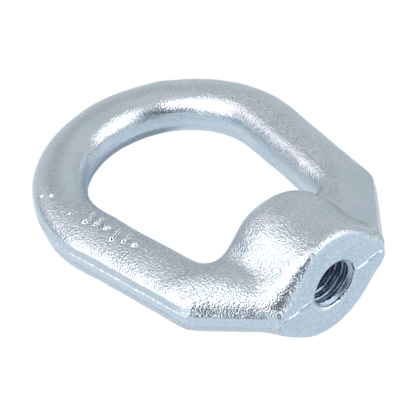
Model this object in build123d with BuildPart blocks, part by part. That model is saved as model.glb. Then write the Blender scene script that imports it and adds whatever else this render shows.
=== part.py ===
"""Oval eye nut: a one-piece drop-forged eye with a boss bored for a 1/2-13 UNC thread.

Frame: the loop lies in the XY plane, which is the parting plane of the forging
dies (z = 0).  The bearing face of the boss lies in the XZ plane (y = 0) and
faces -Y.  The bore runs along +Y from the origin, which is the centre of the
bore mouth on the bearing face.  The eye reaches towards +Y.  Millimetres.
"""

from build123d import *
from math import cos, hypot, radians, sin, tan
import os

# ---- bore, modelled plain at the thread's minor diameter
INCH = 25.4
THREAD_MAJOR_D = 0.5 * INCH
BORE_D = 10.80                       # minor diameter of the class 2B thread
MOUTH_D = THREAD_MAJOR_D + 0.7       # countersink at the bearing face
MOUTH_ANGLE = 120.0                  # included angle of that countersink
BACK_CHAMFER = 0.8                   # at the end of the bore inside the eye

# ---- section of the loop bar
BAR_HALF_W = 6.55                    # to the trimmed flats, in plan
BAND_HALF = 1.2                      # half height of the trimmed flat band
FLANK_Z = 2.2                        # top of the drafted flank
FLANK_DRAFT = 7.0                    # degrees
BAR_TOP_Z = 6.4                      # crown of the bar

# ---- loop, along its centre line
LOOP_R = 29.1                        # far arc
LOOP_Y = 55.4                        # centre of the far arc, from the face
LEG_TAPER = 9.2                      # degrees each leg leans in towards the nut

# ---- shoulders, the web between them and the throat at the opening's small end
FACE_HALF_W = 15.5                   # corner of the face, on the parting plane
SHOULDER_X = 30.3                    # outer corner of the shoulder
SHOULDER_Y = 16.6
RIM_START_Y = -8                     # the rim overruns the face, then is cut at y = 0
WEB_HALF = 6.0                       # half thickness of the web
WEB_END_Y = 16.0                     # the web runs under the throat bar to here
THROAT_START_Y = 12.0                # -Y side of the throat bar, buried in the web
THROAT_Y = 20.6                      # +Y side of the throat bar
THROAT_HALF_W = 20.5
THROAT_EDGE_R = 4.0

# ---- boss, turned about the bore axis Y
BOSS_FACE_R = 13.35                  # at the bearing face
BOSS_END_R = 6.8                     # crown of the boss, inside the eye
BOSS_END_Y = 24.6
BOSS_PROFILE = [                     # (radius, y) from the face to the crown
    (BOSS_FACE_R, 0.0),
    (14.35, 7.5),
    (15.05, 15.0),
    (14.35, 18.8),
    (12.2, 21.3),
    (9.5, 23.2),
    (BOSS_END_R, BOSS_END_Y),
]
BOSS_TANGENTS = [(0.14, 1), (-1, 0.25)]  # profile directions at the face and crown

# ---- collar behind the bearing face
COLLAR_DEPTH = 11.0
COLLAR_TAPER = 11.0                  # degrees
BAND_INSET = 0.01                    # keeps the band's ends just inside the face corners

# ---- valleys between the boss and the shoulders
VALLEY_R = 1.2
VALLEY_X = (11, 14.5)                # range of |x| of the edge centres
VALLEY_MIN_Y = 5
VALLEY_Z_TOL = 0.7                   # distance of the edge centres from the web's faces

# ---- derived points
# tangent point of the right leg with the far arc
leg_slope = tan(radians(LEG_TAPER))
tangent_x = LOOP_R * cos(radians(LEG_TAPER))
tangent_y = LOOP_Y - LOOP_R * sin(radians(LEG_TAPER))

# the rim's centre line along the shoulder is the shoulder edge moved in by half a bar
shoulder_w = SHOULDER_X - FACE_HALF_W
shoulder_run = hypot(shoulder_w, SHOULDER_Y)
shoulder_dir_x = shoulder_w / shoulder_run
shoulder_dir_y = SHOULDER_Y / shoulder_run
rim_slope = shoulder_dir_x / shoulder_dir_y
rim_face_x = (
    FACE_HALF_W - BAR_HALF_W * shoulder_dir_y - BAR_HALF_W * shoulder_dir_x * rim_slope
)


def rim_point(y):
    """Point at height y on the centre line of the right shoulder's rim."""
    return (rim_face_x + y * rim_slope, y)


# it meets the leg's centre line at the corner
corner_y = (rim_face_x - tangent_x + tangent_y * leg_slope) / (leg_slope - rim_slope)
rim_corner = rim_point(corner_y)
rim_start = rim_point(RIM_START_Y)
web_end_x = rim_point(WEB_END_Y)[0]

# top of the drafted flank, where the elliptical crown of the bar begins
flank_x = BAR_HALF_W - (FLANK_Z - BAND_HALF) * tan(radians(FLANK_DRAFT))


with BuildPart() as right_rim:
    # the right half of the rim: one bar section carried from the bearing face up
    # the shoulder, round its corner, up the leg and round to the top of the loop
    with BuildLine() as rim_line:
        Line(rim_start, rim_corner)
        Line(rim_corner, (tangent_x, tangent_y))
        CenterArc((0, LOOP_Y), LOOP_R, -LEG_TAPER, 90 + LEG_TAPER)
    rim_plane = Plane(
        origin=(*rim_start, 0),
        x_dir=(shoulder_dir_y, -shoulder_dir_x, 0),
        z_dir=(shoulder_dir_x, shoulder_dir_y, 0),
    )
    with BuildSketch(rim_plane):
        with BuildLine():
            Line((BAR_HALF_W, 0), (BAR_HALF_W, BAND_HALF))
            Line((BAR_HALF_W, BAND_HALF), (flank_x, FLANK_Z))
            EllipticalCenterArc(
                (0, FLANK_Z), flank_x, BAR_TOP_Z - FLANK_Z, start_angle=0, arc_size=180
            )
            Line((-flank_x, FLANK_Z), (-BAR_HALF_W, BAND_HALF))
            Line((-BAR_HALF_W, BAND_HALF), (-BAR_HALF_W, 0))
            Line((-BAR_HALF_W, 0), (BAR_HALF_W, 0))
        make_face()
        mirror(about=Plane.XZ)
    sweep(path=rim_line.wires()[0], transition=Transition.RIGHT)
    # Plane.XZ faces -Y, so its bottom is the +Y side
    split(bisect_by=Plane.XZ, keep=Keep.BOTTOM)

with BuildPart() as shoulder_web:
    # the web between the two rims, on the parting plane
    with BuildSketch(Plane.XY):
        with BuildLine():
            Polyline(
                (-rim_face_x, 0),
                (rim_face_x, 0),
                (web_end_x, WEB_END_Y),
                (-web_end_x, WEB_END_Y),
                (-rim_face_x, 0),
            )
        make_face()
    extrude(amount=WEB_HALF, both=True)

with BuildPart() as throat_bar:
    # the rim of the web across the small end of the opening, from leg to leg
    with BuildSketch(Plane.YZ) as throat_section:
        with Locations(((THROAT_Y + THROAT_START_Y) / 2, 0)):
            Rectangle(THROAT_Y - THROAT_START_Y, 2 * WEB_HALF)
        # the sketch's own x runs along the part's Y
        fillet(throat_section.vertices().group_by(Axis.X)[-1], THROAT_EDGE_R)
    extrude(amount=THROAT_HALF_W, both=True)

with BuildPart() as boss:
    # a pear-shaped body turned about the bore axis
    with BuildSketch(Plane.XY):
        with BuildLine():
            Line((0, 0), (BOSS_FACE_R, 0))
            Spline(BOSS_PROFILE, tangents=BOSS_TANGENTS)
            Line((BOSS_END_R, BOSS_END_Y), (0, BOSS_END_Y))
            Line((0, BOSS_END_Y), (0, 0))
        make_face()
    revolve(axis=Axis.Y)

with BuildPart() as collar:
    # the cheeks of the bearing face: the hull of the round boss and the four
    # points where the trimmed band reaches the face, fading into the web
    with BuildSketch(Plane.XZ):
        Circle(BOSS_FACE_R)
        Rectangle(2 * (FACE_HALF_W - BAND_INSET), 2 * BAND_HALF)
        make_hull()
    extrude(amount=-COLLAR_DEPTH, taper=COLLAR_TAPER)

with BuildPart() as eye_nut_forging:
    # one forging: rim, shoulders and boss run into one another
    add(right_rim.part)
    mirror(about=Plane.YZ)
    add(shoulder_web.part)
    add(throat_bar.part)
    add(boss.part)
    add(collar.part)

    # soften the four valleys between the boss and the shoulders
    valleys = (
        eye_nut_forging.edges()
        .filter_by(GeomType.BSPLINE)
        .filter_by(lambda e: VALLEY_X[0] < abs(e.center().X) < VALLEY_X[1])
        .filter_by(lambda e: VALLEY_MIN_Y < e.center().Y < THROAT_Y)
        .filter_by(lambda e: abs(abs(e.center().Z) - WEB_HALF) < VALLEY_Z_TOL)
    )
    fillet(valleys, VALLEY_R)

    # bore through the boss, countersunk at the face and chamfered at the crown
    with Locations(Plane((0, 0, 0), x_dir=(1, 0, 0), z_dir=(0, -1, 0))):
        CounterSinkHole(
            radius=BORE_D / 2,
            counter_sink_radius=MOUTH_D / 2,
            depth=BOSS_END_Y,
            counter_sink_angle=MOUTH_ANGLE,
        )
    # the bore's edge is the smallest circle on the crown
    crown_circles = (
        eye_nut_forging.edges()
        .filter_by(GeomType.CIRCLE)
        .filter_by(lambda e: abs(e.center().Y - BOSS_END_Y) < 0.01 and e.radius < BORE_D)
        .sort_by(SortBy.RADIUS)
    )
    chamfer(crown_circles[0], BACK_CHAMFER)

eye_nut_forging.part.label = "eye_nut_forging"
os.makedirs("parts", exist_ok=True)
export_step(eye_nut_forging.part, "parts/eye_nut_forging.step")
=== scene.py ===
"""Oval eye nut, forged and zinc plated, lying on a white sheet.

x runs across the loop, y from the bearing face (y = 0) to the far end of the eye, and
z square to the parting plane.  The shape is one signed distance field in millimetres,
negative in metal; the mesh, floor and camera are in metres.
"""

import math

import bpy
import numpy as np
import openvdb
from mathutils import Matrix, Vector


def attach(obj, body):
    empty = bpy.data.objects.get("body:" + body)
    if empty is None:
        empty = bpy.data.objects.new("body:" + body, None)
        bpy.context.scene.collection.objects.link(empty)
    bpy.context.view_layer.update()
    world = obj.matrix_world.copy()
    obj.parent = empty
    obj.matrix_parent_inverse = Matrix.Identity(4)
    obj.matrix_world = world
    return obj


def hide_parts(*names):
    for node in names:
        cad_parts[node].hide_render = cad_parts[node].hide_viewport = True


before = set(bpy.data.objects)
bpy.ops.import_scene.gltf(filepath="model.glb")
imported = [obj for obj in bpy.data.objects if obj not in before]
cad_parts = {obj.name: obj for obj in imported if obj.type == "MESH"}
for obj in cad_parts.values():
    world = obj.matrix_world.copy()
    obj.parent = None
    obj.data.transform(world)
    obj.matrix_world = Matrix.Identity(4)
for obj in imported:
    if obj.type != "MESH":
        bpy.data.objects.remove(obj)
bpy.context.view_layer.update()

MM = 0.001

# ---- bar of the loop, in section ----
BAR_HALF_W = 6.55           # to the trimmed band, in plan
BAND_HALF = 1.25            # half height of the trimmed band
FLANK_STEP = 0.11           # on the legs the flank stands back from the band
FLANK_Z = 1.8
FLANK_RISE = 0.9            # extra flank height outside the legs
FLANK_SLOPE = math.tan(math.radians(7.0))
LEAN_SLOPE = math.tan(math.radians(16.0))   # of the flank on the shoulders
BAR_TOP_Z = 6.4
PUNCHED_HALF_W = 7.0        # crown half width where the flank is punched away
CROWN_OUT, CROWN_IN = 2.0, 2.2   # crown exponents; squarer towards the eye
SHOULDER_CROWN = 1.9        # added to the exponent on the shoulders
BULGE_Y, BULGE_LENGTH = 51.5, 7.5   # fuller bar where the legs leave the arc
BULGE_OUT, BULGE_IN = 0.12, 0.55
# ---- loop and shoulders, in plan ----
LOOP_R = 29.1
LOOP_Y = 55.4
TAPER = math.radians(9.2)
FACE_HALF_W = 15.5
SHOULDER = (30.3, 16.6)
EDGE_BLEND = 0.9
# ---- web and throat between the shoulders ----
WEB_HALF = 5.5
WEB_END_Y = 15.5
THROAT_Y = 20.9             # the end towards the eye
THROAT_START_Y = 10.0
THROAT_EDGE_R = 4.2
PLATE_INSET = 5.0           # of web and throat from the plan edges
# ---- boss and bearing face ----
BOSS_PROFILE = [            # radius, y
    (13.35, 0.0), (14.35, 7.5), (15.05, 15.0), (14.1, 18.8),
    (11.95, 21.3), (9.5, 23.2), (6.8, 24.6),
]
BOSS_R, BACK_Y = BOSS_PROFILE[0][0], BOSS_PROFILE[-1][1]
BOSS_FLARE = 0.14           # radius gained per length at the face
BOSS_START_Y = -6.0         # the profile is carried on below the face
COLLAR_TAPER = math.radians(11.0)
FACE_SLOPE = math.tan(math.radians(2.5))
# ---- tapped hole, 1/2-13 UNC ----
MINOR_R = 5.40
MAJOR_R = 6.35
PITCH = 25.4 / 13
ROOT_START, ROOT_FULL = 0.25, 0.875   # thread flank, as shares of half a pitch
MOUTH_R = 6.45
MOUTH_DROP = 0.60           # the countersink is cut a little low of the thread

LEG_TANGENT = (LOOP_R * math.cos(TAPER), LOOP_Y - LOOP_R * math.sin(TAPER))
SHOULDER_RUN = math.hypot(SHOULDER[0] - FACE_HALF_W, SHOULDER[1])
SHOULDER_NORMAL = (SHOULDER[1] / SHOULDER_RUN, -((SHOULDER[0] - FACE_HALF_W) / SHOULDER_RUN))
# direction square to the line from the band's corner that touches the boss circle
CHEEK_ANGLE = (math.atan2(BAND_HALF, FACE_HALF_W)
               + math.acos(BOSS_R / math.hypot(FACE_HALF_W, BAND_HALF)))


def soft_min(a, b, blend):
    h = np.clip(0.5 + 0.5 * (b - a) / blend, 0.0, 1.0)
    return b * (1 - h) + a * h - blend * h * (1 - h)


def soft_max(a, b, blend):
    return -soft_min(-a, -b, blend)


def fade(start, end, value):
    """Smooth step: 0 at start, 1 at end; start may be the greater."""
    t = np.clip((value - start) / (end - start), 0.0, 1.0)
    return t * t * (3 - 2 * t)


# ---------------------------------------------------------------- boss table
GRID_STEP = 0.2
GRID_R, GRID_Y0, GRID_Y1 = 24.0, -8.0, 34.0


def boss_outline():
    """Hermite curve through BOSS_PROFILE, carried below the face and in to the axis."""
    points = np.array(BOSS_PROFILE, float)
    length = np.r_[0, np.cumsum(np.hypot(*np.diff(points, axis=0).T))]
    slopes = np.gradient(points, length, axis=0)
    slopes[0] = np.array([BOSS_FLARE, 1.0]) / math.hypot(BOSS_FLARE, 1)
    slopes[-1] = np.array([-1.0, 0.45]) / math.hypot(1, 0.45)
    u = np.linspace(0, 1, 24, endpoint=False)[:, None]
    curve = []
    for i in range(len(points) - 1):
        span = length[i + 1] - length[i]
        curve.append((2 * u**3 - 3 * u**2 + 1) * points[i]
                     + (u**3 - 2 * u**2 + u) * span * slopes[i]
                     + (-2 * u**3 + 3 * u**2) * points[i + 1]
                     + (u**3 - u**2) * span * slopes[i + 1])
    start = [[BOSS_R + BOSS_FLARE * BOSS_START_Y, BOSS_START_Y]]
    return np.vstack([start] + curve + [points[-1:], [[0.0, BACK_Y + 0.25]]])


def boss_table():
    """Signed distance to the boss outline, on a grid of radius and y."""
    outline = boss_outline()
    radius, y = np.meshgrid(np.arange(0, GRID_R + GRID_STEP, GRID_STEP),
                            np.arange(GRID_Y0, GRID_Y1 + GRID_STEP, GRID_STEP), indexing="ij")
    inside = np.zeros(radius.shape, bool)
    closed = np.vstack([outline, [[0.0, BOSS_START_Y]], outline[:1]])
    for a, b in zip(closed[:-1], closed[1:]):
        spans = (a[1] > y) != (b[1] > y)
        with np.errstate(divide="ignore", invalid="ignore"):
            crossing = a[0] + (y - a[1]) * (b[0] - a[0]) / (b[1] - a[1])
        inside ^= spans & (radius < crossing)
    nearest = np.full(radius.shape, 1e9)
    for a, b in zip(outline[:-1], outline[1:]):
        ab = b - a
        t = np.clip(((radius - a[0]) * ab[0] + (y - a[1]) * ab[1]) / (ab @ ab), 0, 1)
        gap = np.hypot(radius - a[0] - t * ab[0], y - a[1] - t * ab[1])
        nearest = np.minimum(nearest, gap)
    return np.where(inside, -nearest, nearest)


BOSS_TABLE = boss_table()


def boss_distance(radius, y):
    """Bilinear reading of the boss table."""
    table = BOSS_TABLE
    row = np.clip(radius / GRID_STEP, 0, table.shape[0] - 1.001)
    column = np.clip((y - GRID_Y0) / GRID_STEP, 0, table.shape[1] - 1.001)
    i, j = row.astype(int), column.astype(int)
    u, v = row - i, column - j
    return (table[i, j] * (1 - u) * (1 - v) + table[i + 1, j] * u * (1 - v)
            + table[i, j + 1] * (1 - u) * v + table[i + 1, j + 1] * u * v)


# ---------------------------------------------------------------- surface relief
rng = np.random.default_rng(20260417)


def plane_waves(count, shortest, longest):
    """Random wave vectors, their phases and the amplitude that keeps the sum near unit size."""
    heading = rng.normal(size=(count, 3))
    heading /= np.linalg.norm(heading, axis=1)[:, None]
    wavelength = rng.uniform(shortest, longest, count)
    phases = rng.uniform(0, 2 * np.pi, count)
    return heading * (2 * np.pi / wavelength)[:, None], phases, math.sqrt(2.0 / count)


BIG_WAVES = plane_waves(14, shortest=8.0, longest=20.0)
MID_WAVES = plane_waves(26, shortest=2.6, longest=5.5)
SMALL_WAVES = plane_waves(40, shortest=1.3, longest=2.3)

# plain raised bars and dots on the top of the left leg:
# start x, start y, end x, end y, half width, height
MARKS = [
    (-25.9, 53.2, -29.2, 52.0, 0.72, 0.85),
    (-25.6, 50.2, -28.0, 49.3, 0.66, 0.75),
    (-26.7, 46.6, -26.7, 46.5, 1.05, 0.85),
    (-25.1, 43.9, -28.4, 42.7, 0.72, 0.85),
    (-24.6, 40.9, -27.0, 40.0, 0.66, 0.75),
    (-25.9, 37.2, -25.9, 37.1, 0.90, 0.75),
    (-29.1, 66.2, -29.0, 65.9, 0.50, 0.50),
    (-30.6, 68.9, -30.5, 68.4, 0.45, 0.40),
    (-29.8, 57.2, -29.7, 57.0, 0.45, 0.40),
]


def wave_sum(waves, x, y, z):
    vectors, phases, amplitude = waves
    total = np.zeros_like(x)
    for (kx, ky, kz), phase in zip(vectors, phases):
        total += np.sin(kx * x + ky * y + kz * z + phase)
    return total * amplitude


def mark_height(x, y, z):
    raised = np.zeros_like(x)
    for x0, y0, x1, y1, half_w, height in MARKS:
        dx, dy = x1 - x0, y1 - y0
        t = np.clip(((x - x0) * dx + (y - y0) * dy) / (dx * dx + dy * dy), 0, 1)
        gap = np.hypot(x - x0 - t * dx, y - y0 - t * dy)
        raised = np.maximum(raised, height * (1 - fade(half_w * 0.45, half_w * 1.25, gap)))
    return raised * fade(3.0, 4.5, z)


def with_skin(distance, x, y, z):
    """Adds the undulating forged skin, the quieter trimmed surfaces and the marks."""
    forged = fade(BAND_HALF + 0.1, BAND_HALF + 1.2, np.abs(z)) * fade(0.6, 3.0, y)
    mid = wave_sum(MID_WAVES, x, y, z)
    distance = distance - forged * (0.050 * wave_sum(BIG_WAVES, x, y, z) + 0.012 * mid)
    distance = distance - forged * 0.004 * wave_sum(SMALL_WAVES, x, y, z)
    distance = distance - (1 - forged) * 0.010 * mid
    return distance - mark_height(x, y, z)


# ---------------------------------------------------------------- shape
# in this section wide is |x| and high is |z|
def plan_edges(wide, y):
    """Distance outside the shoulder's edge, and outside the leg's or arc's edge, in plan."""
    shoulder = ((wide - FACE_HALF_W) * SHOULDER_NORMAL[0] + y * SHOULDER_NORMAL[1]
                - 0.12 * fade(0.5, 6.0, y))
    leg = ((wide - LEG_TANGENT[0]) * math.cos(TAPER) - (y - LEG_TANGENT[1]) * math.sin(TAPER)
           - BAR_HALF_W)
    arc = np.hypot(wide, y - LOOP_Y) - LOOP_R - BAR_HALF_W
    beyond = wide * math.sin(TAPER) + (y - LOOP_Y) * math.cos(TAPER) > 0
    return shoulder, np.where(beyond, arc, leg)


def bar_distance(y, high, edge, edge_gap, bulge):
    """Bar with drafted flanks and elliptical crown; edge_gap is shoulder less loop edge."""
    side = edge + BAR_HALF_W                    # from the bar's centre line, positive outwards
    outside = side > 0
    across = np.maximum(np.where(outside, side - BULGE_OUT * bulge, -side - BULGE_IN * bulge), 0)
    # inside the arc the flank is cut away, so the crown meets a taller wall at an angle
    punched = np.where(outside, 0.0, 0.7 * fade(56.0, 68.0, y))
    # outside the legs the flank is taller, and stands back from the trimmed band
    outer = np.where(outside, fade(3.0, -3.0, edge_gap) * fade(76.0, 62.0, y), 0.0)
    rise = FLANK_RISE * outer
    flank_z = FLANK_Z * (1 - punched) + rise
    half_w = BAR_HALF_W - FLANK_STEP * outer - (FLANK_Z - BAND_HALF) * FLANK_SLOPE
    half_w = half_w * (1 - punched) + PUNCHED_HALF_W * punched - rise * FLANK_SLOPE
    crown_h = BAR_TOP_Z - flank_z
    drafted = across - np.clip(flank_z - high, 0, FLANK_Z - BAND_HALF + rise) * FLANK_SLOPE
    # on the shoulders the outer flank leans in from the band instead
    shoulder = np.where(outside, fade(-3.0, 3.0, edge_gap), 0.0)
    lean = fade(0.0, 3.0, side) * shoulder * np.clip(high - BAND_HALF, 0, 3.2) * LEAN_SLOPE
    drafted = np.maximum(drafted + lean, 0.0)
    # superellipse, its value divided by its gradient
    u = drafted / half_w + 1e-6
    v = np.maximum(high - flank_z, 0.0) / crown_h
    power = np.where(outside, CROWN_OUT + SHOULDER_CROWN * shoulder, CROWN_IN)
    u_low, v_low = u ** (power - 1), v ** (power - 1)
    level = (u_low * u + v_low * v) ** (1 / power)
    steep = np.hypot(u_low / half_w, v_low / crown_h) / np.maximum(level, 1e-3) ** (power - 1)
    bar = np.where(level > 0.05, (level - 1) / np.maximum(steep, 1e-3),
                   -np.minimum(half_w, crown_h))
    inner_wall = (-edge - 2 * BAR_HALF_W + FLANK_STEP - BULGE_IN * bulge
                  - 2.0 * (1 - punched))
    return soft_max(bar, inner_wall, 0.25)


def plate_distance(x, y, high, bar, shoulder_edge, loop_edge):
    """The bar with the shoulder web and the rim of the throat, cut by the shoulder facets."""
    web = soft_max(soft_max(high - WEB_HALF, shoulder_edge + 3.4, 4.0), y - WEB_END_Y, 3.0)
    web = soft_max(web, loop_edge + PLATE_INSET, 4.0)
    along = (np.abs(y - (THROAT_Y + THROAT_START_Y) / 2) - (THROAT_Y - THROAT_START_Y) / 2
             + THROAT_EDGE_R)
    above = high - WEB_HALF + THROAT_EDGE_R
    throat = (np.hypot(np.maximum(along, 0), np.maximum(above, 0))
              + np.minimum(np.maximum(along, above), 0) - THROAT_EDGE_R)
    for edge in (loop_edge, shoulder_edge):
        throat = soft_max(throat, edge + PLATE_INSET, 4.0)
    plate = soft_min(soft_min(bar, throat, 5.4), web, 2.4)
    # each shoulder's crown falls to its band in one long facet: steeper and softer
    # on the left (-x), crisp with a raised crease on the right
    left = x < 0
    tilt = np.where(left, math.radians(35.0), math.radians(24.0))
    facet = (np.sin(tilt) * (shoulder_edge + BAR_HALF_W - 5.7)
             + np.cos(tilt) * (high - np.where(left, 4.6, 4.0)))
    crease = (np.where(x > 0, 0.055, 0.0) * np.exp(-((plate - facet) / 0.28) ** 2)
              * fade(2.0, 5.0, y))
    return soft_max(plate, facet, np.where(left, 1.5, 0.12)) + crease


def face_outline(x, z):
    """Distance outside the face's outline: a circle with a cheek running out each side."""
    wide, high, radius = np.abs(x), np.abs(z), np.hypot(x, z)
    cheek = wide * math.cos(CHEEK_ANGLE) + high * math.sin(CHEEK_ANGLE) - BOSS_R
    return np.where(np.arctan2(high, wide) > CHEEK_ANGLE, radius - BOSS_R,
                    np.maximum(cheek, wide - FACE_HALF_W))


def face_edge_radius(x, z):
    """Rounding of the bearing face's edge: sharp at the band, fullest at the upper left."""
    edge_r = (0.30 + (1.0 - 0.35 * fade(8.0, 13.0, z)) * fade(1.2, 3.5, z)
              + 0.35 * fade(1.5, 5.5, -z))
    return edge_r + 0.9 * fade(-4.0, -9.0, x) * fade(1.8, 4.0, z)


def body(x, y, z, relief):
    """The forging without its bore."""
    wide, high = np.abs(x), np.abs(z)
    shoulder_edge, loop_edge = plan_edges(wide, y)
    edge = soft_max(shoulder_edge, loop_edge, EDGE_BLEND)
    bulge = np.exp(-((y - BULGE_Y) / BULGE_LENGTH) ** 2)
    bar = bar_distance(y, high, edge, shoulder_edge - loop_edge, bulge)
    plate = plate_distance(x, y, high, bar, shoulder_edge, loop_edge)
    # boss, and the collar that carries the cheeks of the face
    outline = face_outline(x, z)
    collar = (outline + np.maximum(y, -1.0) * math.tan(COLLAR_TAPER)) * math.cos(COLLAR_TAPER)
    collar = soft_max(collar, y - 13.0, 3.0)
    nut = soft_min(boss_distance(np.hypot(x, z), y), collar, 2.2)
    # the fillet to the plate is wider near the face, tighter on the right and at the band
    near_face = 1 - fade(2.0, 13.0, y)
    crisp = 1 - 0.62 * fade(3.0, 8.0, x) * fade(4.0, 7.0, y)
    fillet = ((2.6 + 2.2 * near_face) * crisp * (0.4 + 0.6 * fade(0.6, 3.0, high))
              + 2.4 * fade(16.0, 20.0, y))
    distance = soft_min(plate, nut, fillet)
    # trimmed band: flats on the parting plane
    opening = soft_min(-edge - 2 * BAR_HALF_W - BULGE_IN * bulge, y - THROAT_Y, 3.4)
    band_plan = np.maximum(edge - BULGE_OUT * bulge, opening)
    distance = np.minimum(distance, soft_max(high - BAND_HALF, band_plan, 0.18))
    if relief:
        distance = with_skin(distance, x, y, z)
    # bearing face, drafted a little to both sides of the parting line
    distance = soft_max(distance, high * FACE_SLOPE - y, face_edge_radius(x, z) * 1.7)
    if relief:
        # low wavering ridge across the face along the parting line
        ridge = 0.24 * np.exp(-((z + 0.05 * np.sin(x * 0.9)) / 0.24) ** 2)
        keep = fade(0.2, -0.6, outline) * fade(1.2, 0.3, np.abs(y))
        distance = np.where(np.abs(y) < 2.5, distance - ridge * keep, distance)
    return distance


def bore(x, y, z):
    """Distance inside the tapped hole: positive where the metal is cut away."""
    radius = np.hypot(x, z)
    turn = y / PITCH - np.arctan2(x, z) / (2 * math.pi)
    turn = turn - np.floor(turn)
    root = np.abs(turn - 0.5) * 2               # 1 at the root, 0 at the crest
    tooth = np.clip((root - ROOT_START) / (ROOT_FULL - ROOT_START), 0, 1)
    run_out = fade(-0.2, 1.4, BACK_Y - 0.6 - y)
    wall = MINOR_R + (MAJOR_R - MINOR_R) * tooth * run_out
    mouth = MOUTH_R - y * 1.8
    back = MINOR_R + 0.9 - (BACK_Y - 0.2 - y)   # chamfer at the end towards the eye
    wall = soft_max(wall, np.minimum(back, 8.0), 0.3)
    cut = soft_max(wall - radius, mouth - np.hypot(x, z + MOUTH_DROP), 0.12)
    return np.minimum(cut * 0.72, 34.0 - y)


def solid(x, y, z, relief=True):
    return soft_max(body(x, y, z, relief), bore(x, y, z), 0.16)


def solid_at(points):
    return solid(*points.T)


# ---------------------------------------------------------------- mesh
VOXEL = 0.415
BOX_LOW = np.array([-36.8, -1.4, -16.4])
BOX_HIGH = np.array([36.8, 92.2, 16.4])
COARSE = 3                  # voxels to one cell of the coarse pass
CHUNK = 400000              # samples worked out at once


def sample_field():
    """A coarse pass finds where the skin runs; the fine pass fills in only there."""
    count = np.ceil((BOX_HIGH - BOX_LOW) / VOXEL).astype(int) + 1
    axes = [BOX_LOW[i] + VOXEL * np.arange(count[i]) for i in range(3)]
    centres = np.meshgrid(*(axis[::COARSE] + VOXEL for axis in axes), indexing="ij")
    field = solid(*centres, relief=False)
    for i in range(3):
        field = field.repeat(COARSE, i)
    field = field[:count[0], :count[1], :count[2]].astype(np.float32)
    near = np.argwhere(np.abs(field) < 4.2 * VOXEL + 0.4)
    stops = np.r_[0:len(near):CHUNK, len(near)]
    for start, stop in zip(stops[:-1], stops[1:]):
        i, j, k = near[start:stop].T
        field[i, j, k] = solid(axes[0][i], axes[1][j], axes[2][k])
    return field


def skin_surface():
    """Vertices drawn onto the zero surface, the field's normals there, and quads."""
    grid = openvdb.FloatGrid(2.0)
    grid.copyFromArray(np.clip(sample_field(), -3, 3))
    verts, quads = grid.convertToQuads(isovalue=0.0)
    verts = np.asarray(verts, float) * VOXEL + BOX_LOW
    quads = np.asarray(quads, int)
    reach = 0.04
    for _ in range(2):
        value = solid_at(verts)
        slope = np.stack([(solid_at(verts + reach * axis) - value) / reach
                          for axis in np.eye(3)], 1)
        step = value / np.maximum((slope * slope).sum(1), 0.15)
        verts = verts - slope * np.clip(step, -VOXEL * 0.5, VOXEL * 0.5)[:, None]
    reach = 0.06
    slope = np.stack([(solid_at(verts + reach * axis) - solid_at(verts - reach * axis))
                      / (2 * reach) for axis in np.eye(3)], 1)
    normals = slope / np.maximum(np.linalg.norm(slope, axis=1), 1e-9)[:, None]
    # the winding has to agree with the field's gradient
    a, b, c = (verts[quads[:, i]] for i in range(3))
    agree = np.einsum("ij,ij->i", np.cross(b - a, c - a), normals[quads[:, 0]]) > 0
    if np.mean(agree) < 0.5:
        quads = quads[:, ::-1]
    return verts, normals, quads


def surface_masks(verts, normals):
    """Point attributes that the zinc material reads."""
    x, y, z = verts.T
    high = np.abs(z)
    side = soft_max(*plan_edges(np.abs(x), y), EDGE_BLEND) + BAR_HALF_W
    upright = np.abs(normals[:, 2])
    in_bore = (bore(x, y, z) > -0.12) & (y < BACK_Y + 0.4)
    face = (fade(1.1, 0.4, y - high * FACE_SLOPE) * fade(0.90, 0.98, -normals[:, 1])
            * (~in_bore))
    band = (fade(BAND_HALF + 0.35, BAND_HALF - 0.05, high) * (upright < 0.5) * (~in_bore)
            * (1 - face))
    # coarse skin: less at the far arc and on the right
    coarse = 0.42 + 0.58 * fade(78.0, 52.0, y) * (1 - 0.45 * fade(8.0, 20.0, x))
    # smoother outer flanks of the loop
    coarse *= 1 - 0.75 * fade(0.64, 0.42, upright) * (side > 0) * fade(16.0, 22.0, y)
    # pitted top of the left leg
    coarse *= (1 + 0.8 * fade(-14.0, -19.0, x) * fade(20.0, 30.0, y) * fade(66.0, 54.0, y)
               * fade(0.7, 0.9, upright))
    # pitted hollow left of the boss
    coarse *= (1 + 0.6 * fade(-4.0, -9.0, x) * fade(13.0, 16.0, y) * fade(27.0, 22.0, y)
               * fade(0.6, 0.85, upright))
    # pitted strip along the middle of the right leg
    coarse *= (1 + 1.4 * fade(13.0, 17.0, x) * fade(22.0, 30.0, y) * fade(78.0, 64.0, y)
               * np.exp(-((side + 0.6) / 1.7) ** 2))
    depth, clearance = 0.7, 0.9   # how far under and over the skin its bend is felt
    return {
        "thread": in_bore * fade(0.3, 1.4, y),
        "face": face,
        "band": band,
        "convex": np.clip((solid_at(verts - normals * depth) + depth) / depth, 0, 1),
        "hollow": np.clip((clearance - solid_at(verts + normals * clearance)) / clearance, 0, 1),
        "coarse": coarse,
    }


def add_object(name, mesh):
    made = bpy.data.objects.new(name, mesh)
    bpy.context.scene.collection.objects.link(made)
    return made


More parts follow.
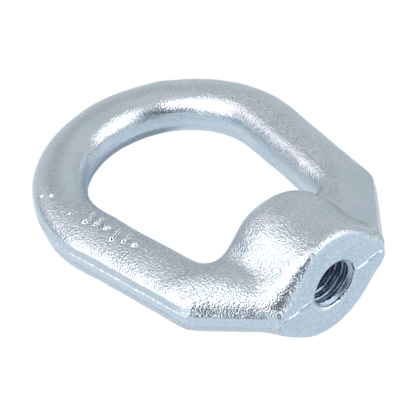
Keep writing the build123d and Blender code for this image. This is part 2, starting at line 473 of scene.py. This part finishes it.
def build_nut():
    verts, normals, quads = skin_surface()
    mesh = bpy.data.meshes.new("eye_nut_zinc")
    mesh.vertices.add(len(verts))
    mesh.vertices.foreach_set("co", (verts * MM).astype(np.float32).ravel())
    mesh.loops.add(quads.size)
    mesh.loops.foreach_set("vertex_index", quads.astype(np.int32).ravel())
    mesh.polygons.add(len(quads))
    mesh.polygons.foreach_set("loop_start", np.arange(0, quads.size, 4, dtype=np.int32))
    mesh.polygons.foreach_set("use_smooth", np.ones(len(quads), bool))
    mesh.update(calc_edges=True)
    mesh.validate()
    for name, values in surface_masks(verts, normals).items():
        attribute = mesh.attributes.new(name, "FLOAT", "POINT")
        attribute.data.foreach_set("value", values.astype(np.float32))
    mesh.normals_split_custom_set_from_vertices(normals.astype(np.float32))
    return add_object("eye_nut_zinc", mesh)


# ---------------------------------------------------------------- shader nodes
class Shader:
    """An emptied node tree; each call adds a node and most return its output."""

    def __init__(self, owner, output_kind):
        owner.use_nodes = True
        self.tree = owner.node_tree
        self.tree.nodes.clear()
        self.surface = self.node(output_kind).inputs[0]

    def node(self, kind, **values):
        made = self.tree.nodes.new("ShaderNode" + kind)
        for key, value in values.items():
            setattr(made, key, value)
        return made

    def put(self, socket, value):
        if isinstance(value, bpy.types.NodeSocket):
            self.tree.links.new(value, socket)
        else:
            socket.default_value = value

    def math(self, operation, *values, clamp=False):
        made = self.node("Math", operation=operation, use_clamp=clamp)
        for socket, value in zip(made.inputs, values):
            self.put(socket, value)
        return made.outputs[0]

    def times(self, a, b):
        return self.math("MULTIPLY", a, b)

    def add_scaled(self, value, scale, base):
        return self.math("MULTIPLY_ADD", value, scale, base)

    def vector(self, operation, a, b):
        made = self.node("VectorMath", operation=operation)
        self.put(made.inputs[0], a)
        self.put(made.inputs[1], b)
        return made.outputs["Value"]

    def noise(self, place, scale, detail=2.0, rough=0.5):
        made = self.node("TexNoise")
        for name, value in (("Scale", scale), ("Detail", detail), ("Roughness", rough),
                            ("Vector", place)):
            self.put(made.inputs[name], value)
        return made.outputs["Fac"]

    def ramp(self, value, start, end):
        made = self.node("MapRange", interpolation_type="SMOOTHSTEP")
        for i, item in enumerate((value, start, end)):
            self.put(made.inputs[i], item)
        return made.outputs[0]

    def mix(self, share, a, b):
        made = self.node("Mix", data_type="RGBA")
        for i, value in ((0, share), (6, a), (7, b)):
            self.put(made.inputs[i], value)
        return made.outputs[2]

    def mix_shader(self, share, a, b):
        made = self.node("MixShader")
        for i, value in enumerate((share, a, b)):
            self.put(made.inputs[i], value)
        return made.outputs[0]

    def emission(self, colour):
        made = self.node("Emission")
        self.put(made.inputs[0], colour)
        return made.outputs[0]


def zinc_material():
    material = bpy.data.materials.new("zinc_plated_steel")
    t = Shader(material, "OutputMaterial")
    bsdf = t.node("BsdfPrincipled")
    t.put(t.surface, bsdf.outputs[0])
    place = t.node("TexCoord").outputs["Object"]
    thread, face, band, convex, hollow, coarse = (
        t.node("Attribute", attribute_name=name).outputs["Fac"]
        for name in ("thread", "face", "band", "convex", "hollow", "coarse"))
    smooth = t.math("MAXIMUM", face, band, clamp=True)

    # colour: faint blue passivate, cloudy, with violet and green tints; laid over it are painted
    # shade in the hollows and inside the bore, and a painted highlight on convex edges
    cloud = t.ramp(t.noise(place, scale=90.0, detail=4.0, rough=0.55), 0.35, 0.68)
    colour = t.mix(cloud, (0.64, 0.69, 0.73, 1), (0.72, 0.755, 0.78, 1))
    tint = t.ramp(t.noise(place, scale=150.0, detail=3.0, rough=0.6), 0.42, 0.62)
    tinted = t.mix(tint, (0.705, 0.70, 0.76, 1), (0.63, 0.705, 0.68, 1))
    colour = t.mix(0.45, colour, tinted)
    frost = t.ramp(t.noise(place, scale=1300.0, detail=3.0, rough=0.7), 0.38, 0.62)
    frosted = t.mix(frost, (0.51, 0.62, 0.70, 1), (0.69, 0.775, 0.83, 1))
    pits = t.times(t.ramp(t.noise(place, scale=1900.0, rough=0.6), 0.50, 0.66), coarse)
    specks = t.ramp(t.noise(place, scale=900.0, rough=0.6), 0.55, 0.8)
    layers = [   # mask, strength, colour; each laid over the one before
        (smooth, 0.75, frosted),
        (band, 0.40, (0.86, 0.90, 0.92, 1)),
        (pits, 0.32, (0.40, 0.44, 0.48, 1)),
        (specks, 0.25, (0.45, 0.49, 0.54, 1)),
        # painted shade: concave hollows and creases darkened
        (hollow, 0.30, (0.40, 0.44, 0.46, 1)),
        # painted highlight: convex edges and crowns lightened
        (convex, 0.5, (0.82, 0.86, 0.88, 1)),
        # painted shade: the inside of the tapped bore darkened
        (thread, 0.80, (0.22, 0.30, 0.40, 1)),
    ]
    for mask, strength, over in layers:
        colour = t.mix(t.times(mask, strength), colour, over)
    t.put(bsdf.inputs["Base Color"], colour)
    bsdf.inputs["Metallic"].default_value = 1.0

    patches = t.noise(place, scale=260.0, detail=3.0, rough=0.6)
    roughness = 0.10
    for value, scale in ((patches, 0.14), (smooth, 0.12), (coarse, 0.06), (hollow, 0.10)):
        roughness = t.add_scaled(value, scale, roughness)
    t.put(bsdf.inputs["Roughness"], roughness)

    # bump: peened skin and finer crystals, nearly flat on trimmed faces and thread
    height = t.noise(place, scale=2100.0, detail=1.0)
    height = t.add_scaled(t.noise(place, scale=3300.0, detail=0.0), 0.30, height)
    height = t.add_scaled(t.noise(place, scale=700.0), 0.45, height)
    strength = t.math("SUBTRACT", 1.0, t.times(smooth, 0.72))
    strength = t.times(strength, t.math("SUBTRACT", 1.0, t.times(thread, 0.95)))
    strength = t.times(strength, coarse)
    bump = t.node("Bump")
    bump.inputs["Distance"].default_value = 0.00020
    t.put(bump.inputs["Strength"], strength)
    t.put(bump.inputs["Height"], height)
    t.put(bsdf.inputs["Normal"], bump.outputs[0])
    return material


# ---------------------------------------------------------------- floor
# the nut lies on its boss and on the far end of its loop
BOSS_CONTACT = Vector((0, 0.0135, -0.01515))
ARC_CONTACT = Vector((0, (LOOP_Y + LOOP_R) * MM, -BAR_TOP_Z * MM))
FLOOR_GAP = 0.00035
FLOOR_HALF = 1.6
PALE = (0.80, 0.825, 0.85, 1)
SHEET = (0.74, 0.83, 0.91, 1)
SHEET_SHADOW = (0.26, 0.34, 0.42, 1)


def floor_material():
    """Mirrored by the nut: a sheet with a soft shadow.  Seen by the camera: burnt out."""
    material = bpy.data.materials.new("floor_white")
    t = Shader(material, "OutputMaterial")
    place = t.node("NewGeometry").outputs["Position"]

    def spot(x, y, start, end):
        """0 at the start distance from a point, 1 at the end distance."""
        return t.ramp(t.vector("DISTANCE", place, (x, y, -0.010)), start, end)

    # ring under the far arc
    shadow = t.times(spot(0, LOOP_Y * MM, start=0.0155, end=0.0200),
                     spot(0, LOOP_Y * MM, start=0.041, end=0.036))
    shadow = t.times(shadow, spot(-0.001, 0.079, start=0.0185, end=0.0125))
    inside_eye = t.times(spot(0.004, 0.055, start=0.0125, end=0.0085), 0.45)
    shadow = t.math("MAXIMUM", t.times(shadow, 0.9), inside_eye)
    sheet = t.emission(t.mix(shadow, SHEET, SHEET_SHADOW))
    beyond = t.node("BsdfTransparent").outputs[0]
    mirrored = t.mix_shader(spot(0, 0.045, start=0.085, end=0.105), sheet, beyond)

    view = t.node("NewGeometry").outputs
    facing = t.vector("DOT_PRODUCT", view["Normal"], view["Incoming"])
    burnt = t.emission(t.mix(t.ramp(facing, 0.34, 0.56), PALE, (1, 1, 1, 1)))
    to_camera = t.node("LightPath").outputs["Is Camera Ray"]
    top = t.mix_shader(to_camera, mirrored, burnt)
    underside = t.node("BsdfTransparent").outputs[0]
    backfacing = t.node("NewGeometry").outputs["Backfacing"]
    t.put(t.surface, t.mix_shader(backfacing, top, underside))
    return material


def build_floor():
    slope = math.atan2(ARC_CONTACT.z - BOSS_CONTACT.z, ARC_CONTACT.y - BOSS_CONTACT.y)
    normal = Vector((0, -math.sin(slope), math.cos(slope)))
    half = FLOOR_HALF
    mesh = bpy.data.meshes.new("floor")
    corners = [(-half, -half, 0), (half, -half, 0), (half, half, 0), (-half, half, 0)]
    mesh.from_pydata(corners, [], [(0, 1, 2, 3)])
    floor = add_object("floor", mesh)
    floor.rotation_mode = "QUATERNION"
    floor.rotation_quaternion = normal.to_track_quat("Z", "Y")
    floor.location = BOSS_CONTACT - normal * FLOOR_GAP
    mesh.materials.append(floor_material())
    return floor


# ---------------------------------------------------------------- light
# soft boxes painted on the world, later ones over earlier: azimuth from +Y towards +X,
# elevation, half width and half height in degrees, softness of the edge, colour
BOXES = [
    (2, 44, 22, 13, 0.50, (0.42, 0.46, 0.45)),       # back wall
    (80, 14, 12, 16, 0.35, (0.54, 0.63, 0.67)),      # right wall
    (-155, 42, 22, 20, 0.50, (0.44, 0.48, 0.53)),    # front wall
    (115, -8, 12, 14, 0.40, (0.28, 0.31, 0.35)),     # right shade
    (-47, 46, 25, 14, 0.28, (1.62, 1.57, 1.65)),     # fill, left of the eye
    (-61, -14, 9, 24, 0.25, (0.95, 1.01, 1.13)),     # left wall strip
    (-36, -4, 15, 28, 0.25, (0.38, 0.45, 0.56)),     # left wall shade
    (-144, -2, 31, 30, 0.20, (0.10, 0.13, 0.18)),    # front shade
    (150, 19, 22, 38, 0.20, (1.95, 2.05, 2.12)),     # front right box
    (-84, 2, 24, 30, 0.18, (2.05, 2.05, 2.10)),      # key box, low part
    (-97, 42, 31, 27, 0.18, (2.05, 2.05, 2.10)),     # key box, high part
]
AMBIENT = (0.64, 0.69, 0.725, 1)


def soft_box(t, direction, azimuth, elevation, half_w, half_h, soft):
    """1 inside a rectangle seen from the nut, falling to 0 over its soft edge."""
    azimuth, elevation = math.radians(azimuth), math.radians(elevation)
    centre = Vector((math.sin(azimuth) * math.cos(elevation),
                     math.cos(azimuth) * math.cos(elevation), math.sin(elevation)))
    across = centre.cross(Vector((0, 0, 1))).normalized()
    front = t.vector("DOT_PRODUCT", direction, centre)
    safe = t.math("MAXIMUM", front, 0.02)
    fills = []
    for axis, half in ((across, half_w), (across.cross(centre), half_h)):
        offset = t.math("ABSOLUTE", t.vector("DOT_PRODUCT", direction, axis))
        offset = t.math("DIVIDE", t.math("DIVIDE", offset, safe), math.tan(math.radians(half)))
        fills.append(t.ramp(offset, 1 + soft, 1 - soft))
    return t.times(t.times(*fills), t.ramp(front, 0.02, 0.12))


def build_world():
    world = bpy.data.worlds.new("studio")
    bpy.context.scene.world = world
    t = Shader(world, "OutputWorld")
    direction = t.node("TexCoord").outputs["Generated"]
    split = t.node("SeparateXYZ")
    t.put(split.inputs[0], direction)
    colour = t.mix(t.ramp(split.outputs[2], -0.36, -0.50), AMBIENT, SHEET)
    for *box, rgb in BOXES:
        colour = t.mix(soft_box(t, direction, *box), colour, rgb + (1,))
    to_camera = t.node("LightPath").outputs["Is Camera Ray"]
    background = t.node("Background")
    t.put(background.inputs[0], t.mix(to_camera, colour, PALE))
    t.put(t.surface, background.outputs[0])


# ---------------------------------------------------------------- camera
CAMERA_PLACE = (-0.12192, -0.13216, 0.18536)
CAMERA_RIGHT = (0.7563, -0.6446, -0.1117)
CAMERA_FORWARD = (0.4270, 0.6156, -0.6623)


def build_camera():
    data = bpy.data.cameras.new("camera")
    camera = add_object("camera", data)
    data.sensor_width = 36.0
    data.lens = 101.138452
    data.clip_start, data.clip_end = 0.01, 10.0
    right = Vector(CAMERA_RIGHT).normalized()
    up = right.cross(Vector(CAMERA_FORWARD).normalized()).normalized()
    forward = up.cross(right).normalized()
    rows = zip(right, up, -forward, CAMERA_PLACE)
    camera.matrix_world = Matrix((*rows, (0, 0, 0, 1)))
    bpy.context.scene.camera = camera


nut = build_nut()
nut.data.materials.append(zinc_material())
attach(nut, "root")
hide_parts("eye_nut_forging")

floor = build_floor()
build_world()
build_camera()
bpy.context.scene.view_settings.view_transform = "Standard"
bpy.context.scene.view_settings.look = "None"
